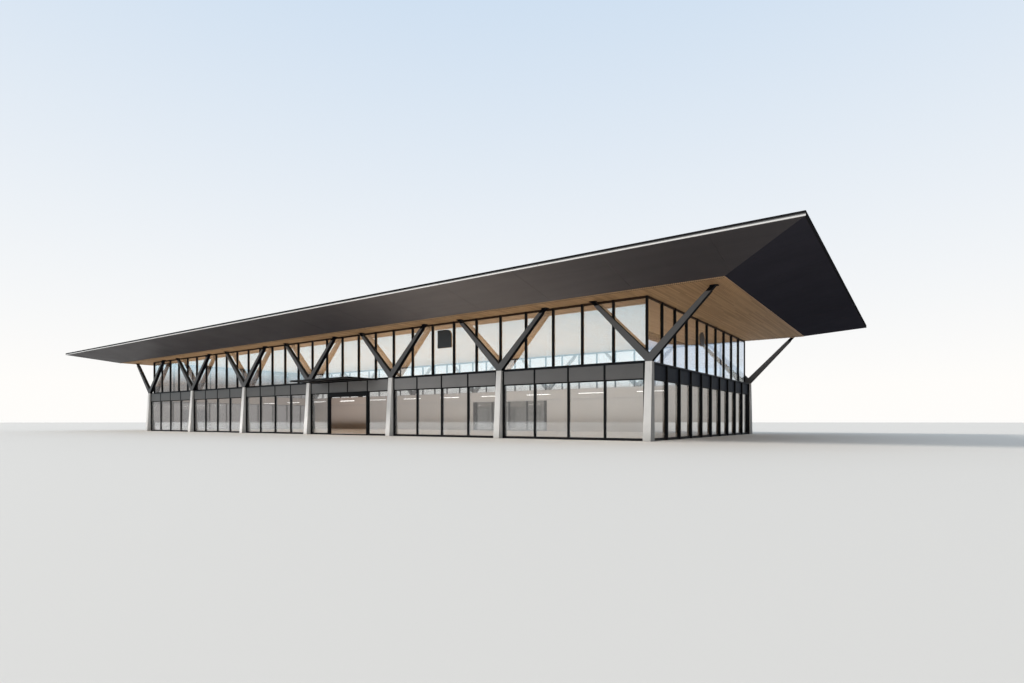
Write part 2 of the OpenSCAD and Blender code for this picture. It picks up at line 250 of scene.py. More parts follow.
# Thin dirt runs below an edge: upright streaks, strongest at the height Top.
def makeStreaks():
    tree, given = newGroup("rainStreaks", Top=1.0, Reach=0.5, Fineness=12.0)
    place = objectPlace(tree)
    height = axisOf(tree, place, "Z")
    flat = vectorCalc(tree, "MULTIPLY", place, (1.0, 1.0, 0.06))
    lines = noise(tree, flat, given["Fineness"], 3.0)
    sharp = times(tree, minus(tree, lines, 0.52), 6.0)
    drop = over(tree, minus(tree, given["Top"], height), given["Reach"])
    mask = times(tree, sharp, clamped(tree, minus(tree, 1.0, drop)))
    return closeGroup(tree, Mask=clamped(tree, mask))


# Fine straight joints at an even spacing, with a chance value for each length between them.
def makeJoints():
    tree, given = newGroup("jointLines", Spacing=1.0, Width=0.004, Along=(1, 0, 0), Offset=0.0)
    run = vectorCalc(tree, "DOT_PRODUCT", objectPlace(tree), given["Along"])
    step = over(tree, calc(tree, "ADD", run, given["Offset"]), given["Spacing"])
    inside = calc(tree, "FRACT", step)
    toEdge = calc(tree, "MINIMUM", inside, minus(tree, 1.0, inside))
    near = times(tree, toEdge, given["Spacing"])
    line = calc(tree, "LESS_THAN", near, times(tree, given["Width"], 0.5))
    cell = chanceAt(tree, "1D", W=calc(tree, "FLOOR", step))
    return closeGroup(tree, Line=line, Cell=cell)


# Handling and weather: rubbed edges, from the attribute that the bevels leave, and dust on
# all that faces up.
def makeWear():
    tree, given = newGroup("edgeWear", Color=plainGrey, Rubbed=plainGrey, Rub=0.3, Dust=0.3)
    place = objectPlace(tree)
    edge = addNode(tree, "Attribute", {"attribute_name": "wear"}).outputs["Fac"]
    patch = ramp(tree, noise(tree, place, 5.0, 3.0), 3.0, -0.9)
    rubbed = times(tree, times(tree, edge, patch), given["Rub"])
    normal = addNode(tree, "NewGeometry").outputs["Normal"]
    up = clamped(tree, axisOf(tree, normal, "Z"))
    cover = times(tree, noise(tree, place, 2.2, 4.0), 0.8, 0.2)
    dusty = times(tree, times(tree, up, cover), given["Dust"])
    tone = mixColor(tree, rubbed, given["Color"], given["Rubbed"])
    return closeGroup(tree, Color=mixColor(tree, dusty, tone, (0.36, 0.34, 0.31)))


mottle, streaks, joints, wear = makeMottle(), makeStreaks(), makeJoints(), makeWear()


# A new material; values that are the same all over go on the shader's own sockets.
def newMaterial(**plain):
    material = bpy.data.materials.new("plain")
    material.use_nodes = True
    shader = material.node_tree.nodes["Principled BSDF"]
    for label, value in {"IOR": 1.5, **plain}.items():
        shader.inputs[label.replace("_", " ")].default_value = value
    return material, material.node_tree


# Gives a material its colour, its roughness and a bump of some strength and distance.
def dressed(material, color, rough, height, strength, distance):
    tree = material.node_tree
    shader = tree.nodes["Principled BSDF"]
    bump = addNode(tree, "Bump", Height=height, Strength=strength, Distance=distance)
    for label, value in (("Base Color", color), ("Roughness", rough), ("Normal", bump.outputs[0])):
        setSocket(tree, shader.inputs[label], value)
    return material


# Strength of a zone of painted light or shade along the building: 1 in its middle, fading out on
# both sides.
def zoneX(tree, paintedLightZone):
    away = over(tree, minus(tree, axisOf(tree, objectPlace(tree), "X"), paintedLightZone["x"]), paintedLightZone["reach"])
    return calc(tree, "EXPONENT", times(tree, times(tree, away, away), -1.0))


# Mixes in the colour of a zone of painted light or shade.
def withPaintedLight(tree, paint, paintedLightZone):
    return mixColor(tree, zoneX(tree, paintedLightZone), paint, paintedLightZone["color"]) if paintedLightZone else paint


# Painted or coated surface with a little cloud, speckle, wear and texture and, where given, a zone
# of painted light or shade along the building.
def coated(color, rough, cloud=0.12, cloudSize=1.2, speckle=0.1, speckleSize=90.0,
           metallic=0.0, specular=0.5, rub=0.25, dust=0.3, paintedLightZone=None):
    material, tree = newMaterial(Metallic=metallic, Specular_IOR_Level=specular)
    tone = groupNode(tree, mottle, Color=withPaintedLight(tree, color, paintedLightZone), Cloud=cloud,
                     Cloud_size=cloudSize, Speckle=speckle, Speckle_size=speckleSize, Rough=rough)
    rubbed = [0.04 + 0.9 * part for part in color]
    worn = groupNode(tree, wear, Color=tone["Color"], Rubbed=rubbed, Rub=rub, Dust=dust)
    return dressed(material, worn["Color"], tone["Roughness"], tone["Height"], 0.15, 0.002)


# Cast concrete with dirt runs, pores and grime at the foot, paler towards the top as painted light.
def castConcrete(color, litTopColor, top, reach, paintedLightZone=None):
    material, tree = newMaterial()
    place = objectPlace(tree)
    height = axisOf(tree, place, "Z")
    # Painted light: the colour pales towards the top colour as the face rises to the height top.
    paintedTopLight = clamped(tree, over(tree, height, top))
    litTone = withPaintedLight(tree, mixColor(tree, paintedTopLight, color, litTopColor), paintedLightZone)
    tone = groupNode(tree, mottle, Color=litTone, Cloud=0.16, Cloud_size=2.2, Speckle=0.12,
                     Speckle_size=70.0, Rough=0.72)
    runs = groupNode(tree, streaks, Top=top, Reach=reach, Fineness=26.0)["Mask"]
    dirt = mixColor(tree, times(tree, runs, 0.2), tone["Color"], (0.24, 0.235, 0.22))
    voids = addNode(tree, "TexVoronoi", Vector=place, Scale=34.0).outputs["Distance"]
    pore = ramp(tree, voids, -16.0, 1.9)
    pitted = mixColor(tree, times(tree, pore, 0.3), dirt, (0.2, 0.2, 0.19))
    splash = ramp(tree, height, -4.5, 1.0)
    grimy = mixColor(tree, times(tree, splash, 0.3), pitted, (0.27, 0.26, 0.24))
    worn = groupNode(tree, wear, Color=grimy, Rubbed=(0.7, 0.69, 0.66), Rub=0.4, Dust=0.3)
    return dressed(material, worn["Color"], tone["Roughness"],
                   times(tree, pore, -1.5, tone["Height"]), 0.3, 0.002)


# Dark sheet metal with a soft wash along its length, a slight tone step from sheet to sheet and,
# on the long eaves, one paler zone of painted sheen, the sunlit forecourt reflected in the sheets.
def eaveSheet(color, washColor, along, spacing, specular, paintedSheen=None):
    material, tree = newMaterial(Specular_IOR_Level=specular)
    tone = groupNode(tree, mottle, Color=color, Cloud=0.22, Cloud_size=0.55, Speckle=0.1,
                     Speckle_size=14.0, Rough=0.5)
    smear = vectorCalc(tree, "MULTIPLY", objectPlace(tree), (0.35, 2.6, 2.6))
    wash = noise(tree, smear, 1.6, 5.0, 0.65)
    washed = mixColor(tree, ramp(tree, wash, 0.6, -0.24), tone["Color"], washColor)
    sheet = groupNode(tree, joints, Spacing=spacing, Along=along, Offset=spacing / 2)["Cell"]
    stepped = mixColor(tree, times(tree, sheet, 0.12), washed, washColor)
    # A paler patch of painted sheen on the long eaves.
    if paintedSheen:
        amount = times(tree, zoneX(tree, paintedSheen), times(tree, wash, 0.5, 0.65))
        stepped = mixColor(tree, clamped(tree, amount), stepped, paintedSheen["color"])
    return dressed(material, stepped, tone["Roughness"], tone["Height"], 0.06, 0.004)


# Oiled boards that run along Y, each length with its own tone, with grain along it.
def oiledTimber(pitch, boardLen, light, dark):
    material, tree = newMaterial(Specular_IOR_Level=0.3)
    place = objectPlace(tree)
    row = calc(tree, "FLOOR", over(tree, axisOf(tree, place, "X"), pitch))
    lengths = over(tree, axisOf(tree, place, "Y"), boardLen)
    run = times(tree, chanceAt(tree, "1D", W=row), 7.0, lengths)
    board = addNode(tree, "CombineXYZ", X=row, Y=calc(tree, "FLOOR", run))
    chance = chanceAt(tree, "2D", Vector=board.outputs[0])
    offset = addNode(tree, "CombineXYZ", X=chance, Y=times(tree, chance, 40.0))
    stretched = vectorCalc(tree, "MULTIPLY", place, (70.0, 1.6, 70.0))
    grain = noise(tree, vectorCalc(tree, "ADD", stretched, offset.outputs[0]), 1.0, 4.0, 0.6)
    broad = noise(tree, vectorCalc(tree, "MULTIPLY", place, (0.9, 0.22, 1.0)), 1.4, 3.0)
    tone = times(tree, grain, 0.45, times(tree, chance, 0.55))
    deeper = (dark[0] * 1.25, dark[1] * 1.1, dark[2] * 0.95)
    aged = mixColor(tree, times(tree, broad, 0.4), mixColor(tree, tone, dark, light), deeper)
    return dressed(material, aged, times(tree, grain, 0.2, 0.5), grain, 0.25, 0.0015)


# Sun-control double glazing: clear from inside, with a mirror-like coat. Panes below the given
# height take a darker colour as painted shade of the dim space behind them.
def coatedGlass(color, paintedShade=None, paintedShadeTop=0.0):
    material, tree = newMaterial(Transmission_Weight=1.0, Coat_Weight=1.0, Coat_IOR=2.6)
    place = objectPlace(tree)
    film = noise(tree, place, 2.4, 5.0)
    haze = times(tree, clamped(tree, minus(tree, film, 0.45)), 0.05)
    if paintedShade:
        low = calc(tree, "LESS_THAN", axisOf(tree, place, "Z"), paintedShadeTop)
        color = mixColor(tree, low, color, paintedShade)
    return dressed(material, color, haze, noise(tree, place, 1.1, 1.0), 0.04, 0.02)


# A tone with joints in one or two directions, for the roof membrane and the hall floor.
def jointed(color, jointColor, rough, spacing, width, ways, cellMix, specular=0.5):
    material, tree = newMaterial(Specular_IOR_Level=specular)
    tone = groupNode(tree, mottle, Color=color, Cloud=0.22, Cloud_size=0.8, Speckle=0.2,
                     Speckle_size=120.0, Rough=rough)
    surface, line = tone["Color"], 0.0
    for way in ways:
        made = groupNode(tree, joints, Spacing=spacing, Width=width, Along=way)
        surface = mixColor(tree, times(tree, made["Cell"], cellMix), surface, jointColor)
        line = calc(tree, "MAXIMUM", made["Line"], line)
    surface = mixColor(tree, times(tree, line, 0.6), surface, jointColor)
    return dressed(material, surface, tone["Roughness"],
                   times(tree, line, -1.0, tone["Height"]), 0.25, 0.002)


def glowing(color, strength):
    material, tree = newMaterial(Emission_Color=(*color, 1), Emission_Strength=strength)
    tone = groupNode(tree, mottle, Color=color, Cloud=0.05, Rough=0.4)
    setSocket(tree, tree.nodes["Principled BSDF"].inputs["Base Color"], tone["Color"])
    return material


# Spacings that a finish and its pieces share.
steps = {"eaveX": 2.25, "eaveY": 1.935, "lap": 1.05, "batten": 0.045}
wood = {"light": (0.55, 0.345, 0.175), "dark": (0.22, 0.128, 0.062)}
# Lighter timber for the end caps and edge boards: painted light of the lit edge strip.
litEdgeWood = {"light": (0.6, 0.42, 0.26), "dark": (0.42, 0.27, 0.15)}
# Glass colours: the left end and the lower back panes are darker as painted shade of the dim space
# behind them.
glaze = {"clear": (0.95, 0.965, 0.965), "back": (0.16, 0.155, 0.145), "left": (0.3, 0.295, 0.31)}
# Column fronts: paler towards the top and in a zone to the left, both painted light.
cast = {"color": (0.45, 0.447, 0.436), "litTopColor": (0.85, 0.848, 0.835), "top": storeyZ,
        "reach": 0.9, "paintedLightZone": {"x": -4.0, "reach": 11.0, "color": (0.87, 0.867, 0.855)}}
# Column sides: one tone without the painted top light, darker on the corner column as painted
# shade.
castShadedSide = {"color": (0.58, 0.575, 0.56), "litTopColor": (0.58, 0.575, 0.56), "top": storeyZ,
            "reach": 0.9, "paintedLightZone": {"x": 13.6, "reach": 2.5, "color": (0.25, 0.248, 0.244)}}
# Paler zone on the long eaves: painted sheen, the sunlit forecourt reflected.
eaveSheenZone = {"x": 9.0, "reach": 3.6, "color": (0.15, 0.13, 0.12)}
# Paler zone on the long spandrels: painted reflection of the bright sky.
spandrelReflectionZone = {"x": 5.5, "reach": 4.5, "color": (0.235, 0.23, 0.228)}
# The hall wall darkens towards the left end: painted shade.
wallShadeZone = {"x": -12.0, "reach": 12.0, "color": (0.215, 0.178, 0.15)}
finish = {
    "frame": coated((0.009, 0.009, 0.01), 0.45, cloud=0.2, specular=0.06),
    "headRail": coated((0.042, 0.024, 0.014), 0.5, specular=0.08),
    "portal": coated((0.007, 0.007, 0.008), 0.45, specular=0.08),
    "gasket": coated((0.006, 0.006, 0.006), 0.62, speckle=0.3, speckleSize=200.0, specular=0.15,
                     rub=0.0),
    "spandrel": coated((0.13, 0.127, 0.126), 0.45, cloudSize=1.8, specular=0.2, paintedLightZone=spandrelReflectionZone),
    # The end spandrels are far darker than the long ones: painted shade of the shaded ends.
    "endSpandrelShaded": coated((0.019, 0.022, 0.029), 0.5, cloudSize=1.8, specular=0.05),
    "ledge": coated((0.012, 0.013, 0.016), 0.5, cloud=0.16, specular=0.1, dust=0.12),
    "concrete": castConcrete(**cast),
    "concreteShadedSide": castConcrete(**castShadedSide),
    "strutFace": coated((0.125, 0.124, 0.127), 0.5, cloudSize=2.5, specular=0.15),
    # Near black for the fork sides, heads and shoes: painted shade.
    "strutShadedSide": coated((0.005, 0.005, 0.006), 0.6, specular=0.02),
    "eave": eaveSheet((0.032, 0.028, 0.0305), (0.066, 0.058, 0.06), (1, 0, 0),
                      steps["eaveX"], 0.2, eaveSheenZone),
    "endEave": eaveSheet((0.027, 0.026, 0.033), (0.036, 0.034, 0.042), (0, 1, 0),
                         steps["eaveY"], 0.0),
    "timber": oiledTimber(steps["batten"], 1.9, **wood),
    "timberLitEdge": oiledTimber(0.6, 2.4, **litEdgeWood),
    "ceilingDark": coated((0.02, 0.017, 0.015), 0.9, specular=0.2),
    "trim": coated((0.66, 0.64, 0.62), 0.4, cloud=0.08, metallic=0.1, speckle=0.06,
                   specular=0.2, dust=0.0),
    "shadedChannel": coated((0.17, 0.17, 0.17), 0.5, specular=0.1, dust=0.0),
    "coping": coated((0.014, 0.014, 0.015), 0.6, cloud=0.2, specular=0.0, dust=0.15),
    "membrane": jointed((0.19, 0.19, 0.188), (0.08, 0.08, 0.08), 0.8, steps["lap"], 0.008,
                        [(1, 0, 0)], 0.14, 0.3),
    "floor": jointed((0.46, 0.445, 0.42), (0.2, 0.19, 0.18), 0.34, 0.6, 0.005,
                     [(1, 0, 0), (0, 1, 0)], 0.05),
    "wall": coated((0.42, 0.395, 0.355), 0.7, cloud=0.08, cloudSize=0.8, paintedLightZone=wallShadeZone),
    "glass": coatedGlass(glaze["clear"]),
    # Left end glass and the lower back panes darker: painted shade.
    "leftGlass": coatedGlass(glaze["left"]),
    "backGlass": coatedGlass(glaze["clear"], glaze["back"], bandZ),
    "sign": coated((0.03, 0.029, 0.029), 0.35, cloud=0.1, specular=0.3),
    "lamp": glowing((1.0, 0.98, 0.94), 2.2),
    "lampBody": coated((0.6, 0.6, 0.6), 0.4),
}
for label, material in finish.items():
    material.name = label + "Finish"
print("materials made:", len(finish))


# How far boxes that touch overlap, the two small bevels, and how much of a face's normal
# points the way that the face looks.
bite, fineEdge, softEdge, facing = 0.001, 0.002, 0.003, 0.8


def newMesh():
    bm = bmesh.new()
    bm.faces.layers.float.new("wear")
    return bm


# Bevels edges and marks the new faces as worn.
def bevelEdges(bm, edges, offset, segments=1):
    made = bmesh.ops.bevel(bm, geom=list(edges), offset=offset, offset_type="OFFSET",
                           segments=segments, profile=0.5, affect="EDGES", material=-1,
                           clamp_overlap=True)
    marked = bm.faces.layers.float["wear"]
    for face in made["faces"]:
        face[marked] = 1.0


def addBox(bm, low, high, edge=0.0):
    made = bmesh.ops.create_cube(bm, size=1.0)["verts"]
    bmesh.ops.scale(bm, vec=[b - a for a, b in zip(low, high)], verts=made)
    bmesh.ops.translate(bm, vec=[(a + b) / 2 for a, b in zip(low, high)], verts=made)
    if edge:
        bevelEdges(bm, {e for v in made for e in v.link_edges}, edge)
    return made


def addRod(bm, radius, depth, at, segments=12, taper=1.0, alongY=False):
    made = bmesh.ops.create_cone(bm, cap_ends=True, segments=segments, radius1=radius,
                                 radius2=radius * taper, depth=depth)["verts"]
    if alongY:
        turn = Matrix.Rotation(math.radians(90), 3, "X")
        bmesh.ops.rotate(bm, cent=(0, 0, 0), matrix=turn, verts=made)
    bmesh.ops.translate(bm, vec=at, verts=made)


def addObject(name, data, at=(0, 0, 0), turn=(0, 0, 0)):
    made = bpy.data.objects.new(name, data)
    made.location, made.rotation_euler = at, turn
    scene.collection.objects.link(made)
    return made


# Closes a piece; one made for a wall is moved there, x along it.
def finishPiece(bm, name, coat, replaced=(), wall=None, x=0.0, extra=()):
    if wall:
        place = walls[wall] @ Matrix.Translation((x, 0, 0))
        bmesh.ops.transform(bm, matrix=place, verts=bm.verts)
    bmesh.ops.recalc_face_normals(bm, faces=bm.faces)
    mesh = bpy.data.meshes.new(name)
    bm.to_mesh(mesh)
    bm.free()
    for one in (coat, *extra):
        mesh.materials.append(finish[one])
    piece = addObject(name, mesh)
    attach(piece, "root")
    if replaced:
        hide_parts(*replaced)
    return piece


def coatNode(name, material):
    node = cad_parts[name]
    node.data.materials.clear()
    node.data.materials.append(finish[material])
    return node


# A merged copy of a CAD node, with its flat triangles joined into faces.
def nodeCopy(name):
    bm = bmesh.new()
    bm.from_mesh(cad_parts[name].data)
    bm.faces.layers.float.new("wear")
    bmesh.ops.remove_doubles(bm, verts=bm.verts, dist=1e-5)
    bmesh.ops.dissolve_limit(bm, angle_limit=math.radians(0.5), verts=bm.verts, edges=bm.edges)
    return bm


def sharpEdges(bm, degrees):
    return [e for e in bm.edges if e.calc_face_angle(0) > math.radians(degrees)]


def rise(edge):
    return abs(edge.verts[0].co.z - edge.verts[1].co.z)


# Shallow grooves across the faces that look one of the given ways.
def cutGrooves(bm, across, places, width, depth, ways):
    across, half, flank = Vector(across), width / 2, width / 10  # a flank is a groove's slope
    ways = [Vector(way).normalized() for way in ways]
    for place in places:
        for offset in (-half, flank - half, half - flank, half):
            bmesh.ops.bisect_plane(bm, geom=bm.verts[:] + bm.edges[:] + bm.faces[:],
                                   plane_co=across * (place + offset), plane_no=across)
    bm.normal_update()
    moves = []
    for vert in bm.verts:
        if any(abs(vert.co.dot(across) - place) < half - flank / 2 for place in places):
            looks = [way for way in ways if any(f.normal.dot(way) > 0.9 for f in vert.link_faces)]
            moves.append((vert, sum(looks, Vector()) * depth))
    for vert, move in moves:
        vert.co -= move


# Even places from low to high, centred between them.
def spread(low, high, step):
    count, middle = int((high - low) / step / 2), (low + high) / 2
    return [middle + i * step for i in range(-count, count + 1)]


# The ways that upright faces look.
frontBack, leftRight = [(0, -1, 0), (0, 1, 0)], [(-1, 0, 0), (1, 0, 0)]

bar = {"cap": 0.014, "reveal": 0.004, "edge": 0.0025, "bodyEdge": 0.0015, "splice": 0.003,
       "upperOut": 0.018, "upperWide": 0.003}


# A bar with a full-width cap outside and a narrower body behind it; slim is the axis across
# the bar, 0 for a mullion and 2 for a rail, whose body also runs into the mullions beside it.
def addBar(bm, low, high, slim):
    capBack = low[1] + bar["cap"]
    addBox(bm, low, (high[0], capBack, high[2]), bar["edge"])
    inner, outer = [low[0], capBack, low[2]], list(high)
    inner[slim] += bar["reveal"]
    outer[slim] -= bar["reveal"]
    if slim == 2:
        inner[0] -= bar["reveal"]
        outer[0] += bar["reveal"]
    addBox(bm, inner, outer, bar["bodyEdge"])


def lowerFrame(name, wall, runs, backs=(), setBack=0.0):
    bm = newMesh()
    for run in runs:
        for x in run[0]:
            for z0, z1 in ((0.0, bandZ - bar["splice"]), (bandZ, ledgeZ)):
                addBar(bm, (x - halfBar, frameOut, z0), (x + halfBar, frameBack, z1), 0)
        for a, b in spaces(run):
            for z0, z1 in ((0.0, facade["baseRail"]), (lowerZ[1], bandZ)):
                addBar(bm, (a, frameOut + setBack, z0), (b, frameBack, z1), 2)
    half = facade["jamb"] + halfBar
    inner = frameBack + facade["columnPanel"]
    for i in backs:
        x0, x1 = max(columnX(i) - half, -beamEnd), min(columnX(i) + half, beamEnd)
        addBox(bm, (x0, frameBack, floorZ), (x1, inner, bandZ), fineEdge)
    finishPiece(bm, name + "_bars", "frame", [name], wall)


def upperFrame(name, wall, run):
    bm = newMesh()
    half, side = facade["upperHalf"], halfBar + bar["upperWide"]
    for x in run[0]:
        addBar(bm, (x - side, -half - bar["upperOut"], storeyZ), (x + side, half, soffitZ), 0)
    for a, b in spaces(run):
        for z0, z1 in ((storeyZ, upperZ[0]), (upperZ[1], soffitZ)):
            addBar(bm, (a, -half, z0), (b, half, z1), 2)
    for face in bm.faces:
        if all(v.co.z > upperZ[1] - bite for v in face.verts):
            face.material_index = 1
    finishPiece(bm, name + "_bars", "frame", [name], wall, extra=["headRail"])


lowerFrame("front_frame_left", "front", leftRuns, range(door["bay"] + 1))
lowerFrame("front_frame_right", "front", rightRuns, range(door["bay"] + 1, bays + 1))
lowerFrame("back_lower_frame", "back", bayRuns, range(bays + 1))
for wall in ("left", "right"):
    lowerFrame(wall + "_lower_frame", wall, [endRun], setBack=facade["endSet"])
    upperFrame(wall + "_upper_frame", wall, endUpper)
for wall in ("front", "back"):
    upperFrame(wall + "_upper_frame", wall, longUpper)
print("window frames made")


gasket = {"cover": 0.007, "thick": 0.004}


# Four strips on either side of a pane, let into the bars as far as their reveal.
def addGasket(bm, x0, x1, z0, z1, middle):
    cover, reach = gasket["cover"], bar["reveal"]
    for side in (-1, 1):
        face = middle + side * facade["glass"] / 2
        y0, y1 = sorted((face - side * bite, face + side * gasket["thick"]))
        for a, b in ((x0 - reach, x0 + cover), (x1 - cover, x1 + reach)):
            addBox(bm, (a, y0, z0 - reach), (b, y1, z1 + reach))
        for a, b in ((z0 - reach, z0 + cover), (z1 - cover, z1 + reach)):
            addBox(bm, (x0 + cover, y0, a), (x1 - cover, y1, b))


paneRuns = {"front": leftRuns + rightRuns, "back": [bayRuns[hall["wayBay"]]],
            "left": [endRun], "right": [endRun]}
for wall, lowerRuns in paneRuns.items():
    bm = newMesh()
    isEnd = wall in ("left", "right")
    setBack, upperRun = (facade["endSet"], endUpper) if isEnd else (0.0, longUpper)
    middle = frameOut + facade["paneSet"] + setBack + facade["glass"] / 2
    for run in lowerRuns:
        for x0, x1 in spaces(run):
            addGasket(bm, x0, x1, *lowerZ, middle)
    for x0, x1 in spaces(upperRun):
        addGasket(bm, x0, x1, *upperZ, 0.0)
    finishPiece(bm, wall + "_gaskets", "gasket", wall=wall)
    # Left end panes and the lower back panes take the darker glass: painted shade.
    own = wall + "Glass"
    pane = coatNode(wall + "_glass", own if own in finish else "glass")
    pane.visible_shadow = False  # lets the soft light fall into the hall
print("glass and gaskets made")


band = {"gap": 0.002, "edge": 0.004, "lipDeep": 0.0035, "lipDrop": 0.003, "lining": 0.012,
        "liningSet": 0.08}


def spandrelBand(wall, runs, half, setBack, coat):
    name = wall + "_spandrel"
    inner, face = facade["upperHalf"], frameOut + facade["panelSet"] + setBack
    bm = newMesh()
    for run in runs:
        for x0, x1 in spaces(run):
            addBox(bm, (x0 + band["gap"], face, bandZ + band["gap"]),
                   (x1 - band["gap"], frameBack - bite, ledgeZ - band["gap"]), band["edge"])
    finishPiece(bm, name + "_panels", coat, [name], wall)
    bm = newMesh()
    addBox(bm, (-half, frameBack, bandZ), (half, inner, storeyZ - bite), softEdge)
    outer = frameOut - facade["ledgeOut"]
    for _, x0, x1 in runs:
        addBox(bm, (x0, outer, ledgeZ), (x1, frameBack + 2 * bite, storeyZ), band["edge"])
        addBox(bm, (x0, outer, ledgeZ - band["lipDrop"]),
               (x1, outer + band["lipDeep"], ledgeZ + band["lipDrop"]))
    finishPiece(bm, name + "_ledge", "ledge", wall=wall)
    bm = newMesh()
    half -= band["liningSet"]
    addBox(bm, (-half, inner - bite, bandZ), (half, inner + band["lining"], upperZ[0]), fineEdge)
    finishPiece(bm, name + "_lining", "wall", wall=wall)


for wall in ("front", "back"):
    spandrelBand(wall, bayRuns, beamEnd, 0.0, "spandrel")
for wall in ("left", "right"):
    spandrelBand(wall, [endRun], upperStop, facade["endSet"], "endSpandrelShaded")
print("spandrel bands made")


backWall = {"joint": 0.001, "lining": 0.012, "liningSet": 0.03, "head": 1.49}


def solidBackWall():
    joint = backWall["joint"]
    bm = newMesh()
    for i, run in enumerate(bayRuns):
        for x0, x1 in spaces(run) if i != hall["wayBay"] else ():
            addBox(bm, (x0 + joint, frameBack - facade["wallPanel"], lowerZ[0] + joint),
                   (x1 - joint, frameBack, lowerZ[1] - joint), softEdge)
    finishPiece(bm, "back_wall_panels", "wall", ["back_wall"], "back")
    # Inside, one smooth lining leaves only the glazed bay open.
    bm = newMesh()
    y0, stop = frameBack + facade["columnPanel"], halfLen - backWall["liningSet"]
    for i in range(bays):
        z0 = backWall["head"] if i == hall["wayBay"] else floorZ
        x0, x1 = max(columnX(i), -stop), min(columnX(i + 1), stop)
        addBox(bm, (x0, y0, z0), (x1, y0 + backWall["lining"], bandZ))
    finishPiece(bm, "back_wall_lining", "wall", wall="back")


solidBackWall()
print("back wall made")


portal = {"stop": 0.024, "stopSet": 0.03, "tread": 0.02, "nosing": 0.004, "treadLow": 0.006,
          "treadHigh": 0.002, "headStop": 0.012}


def entrancePortal():
    bm = newMesh()
    y0, y1, stopSet = frameBack - door["depth"], frameBack, portal["stopSet"]
    inner, head = lowerStep - door["post"] / 2, bandZ - door["lintel"]
    for side in (-1, 1):
        post, stop = side * lowerStep, side * (inner - portal["stop"] / 2)
        addBox(bm, (post - door["post"] / 2, y0, 0), (post + door["post"] / 2, y1, bandZ), softEdge)
        addBox(bm, (stop - portal["stop"] / 2, y0 + stopSet, floorZ),
               (stop + portal["stop"] / 2, y1 - stopSet, head), fineEdge)
    addBox(bm, (-inner, y0, head), (inner, y1, bandZ), softEdge)
    addBox(bm, (-inner, y0, 0), (inner, y1, floorZ), softEdge)
    addBox(bm, (-inner, y0 - portal["nosing"], floorZ - portal["treadLow"]),
           (inner, y0 + portal["tread"], floorZ + portal["treadHigh"]), bite)
    addBox(bm, (-inner, y0 + stopSet, head - portal["headStop"]),
           (inner, y1 - stopSet, head + 2 * bite), fineEdge)
    for x in (-lowerStep, 0, lowerStep):
        addBar(bm, (x - halfBar, frameOut, bandZ + bite), (x + halfBar, y1, ledgeZ), 0)
    finishPiece(bm, "entrance_portal_frame", "portal", ["entrance_portal"],
                "front", doorX)


canopy = {"length": 3.2, "out": 1.42, "height": 0.05, "plate": 0.016, "rim": 0.04, "ribs": 4,
          "web": 0.014, "flange": 0.005, "panel": 0.012}


def entranceCanopy():
    bm = newMesh()
    y0, y1 = -canopy["out"], frameOut - facade["ledgeOut"]
    z0, z1 = storeyZ - canopy["height"], storeyZ
    under = z1 - canopy["plate"]
    length, rim, flange = canopy["length"], canopy["rim"], canopy["flange"]
    ribStep = (length - rim) / canopy["ribs"]
    addBox(bm, (0, y0, under), (length, y1, z1), softEdge)
    addBox(bm, (2 * bite, y0 + 2 * bite, z0), (length - 2 * bite, y0 + rim, under + bite), softEdge)
    for i in range(canopy["ribs"] + 1):
        x = i * ribStep + rim / 2
        web = canopy["web"] if 0 < i < canopy["ribs"] else rim
        addBox(bm, (x - web / 2, y0 + rim, z0 + flange - bite), (x + web / 2, y1, under + bite),
               fineEdge)
        addBox(bm, (x - rim / 2, y0 + rim, z0), (x + rim / 2, y1, z0 + flange), bite)
    for i in range(canopy["ribs"]):
        a, b = i * ribStep + rim - canopy["panel"], (i + 1) * ribStep + canopy["panel"]
        addBox(bm, (a, y0 + rim, under - canopy["panel"]), (b, y1, under + bite), bite)
    finishPiece(bm, "entrance_canopy_sheet", "portal", ["entrance_canopy"],
                "front", doorX - length / 2)


entrancePortal()
entranceCanopy()
print("entrance made")


column = {"arris": 0.007, "rim": 0.004, "jointLow": 0.03, "jointTop": 1.905, "joint": 0.008,
          "jointDeep": 0.005}


def castColumn(name):
    bm = nodeCopy(name)
    upright = [e for e in bm.edges if rise(e) > e.calc_length() / 2]
    bevelEdges(bm, upright, column["arris"], 2)
    level = [e for e in sharpEdges(bm, 30) if rise(e) < 1e-4]
    bevelEdges(bm, level, column["rim"])
    cutGrooves(bm, (0, 0, 1), (column["jointLow"], column["jointTop"]), column["joint"],
               column["jointDeep"], leftRight + frontBack)
    bm.normal_update()
    # The sides, looking along X, take their own copy, without the painted top light and with
    # painted shade on the corner column.
    for face in bm.faces:
        if abs(face.normal.x) > facing:
            face.material_index = 1
    finishPiece(bm, name + "_cast", "concrete", [name], extra=["concreteShadedSide"])


fork = {"edge": 0.004, "head": 0.123, "reach": 1.605, "tip": 0.133, "y": 0.148, "slope": 0.2105,
        "shoeX": 0.1, "shoeY": 0.088, "shoeDeep": 0.012, "round": 0.06, "bolt": 0.009,
        "boltSet": 0.018, "boltLong": 0.012}


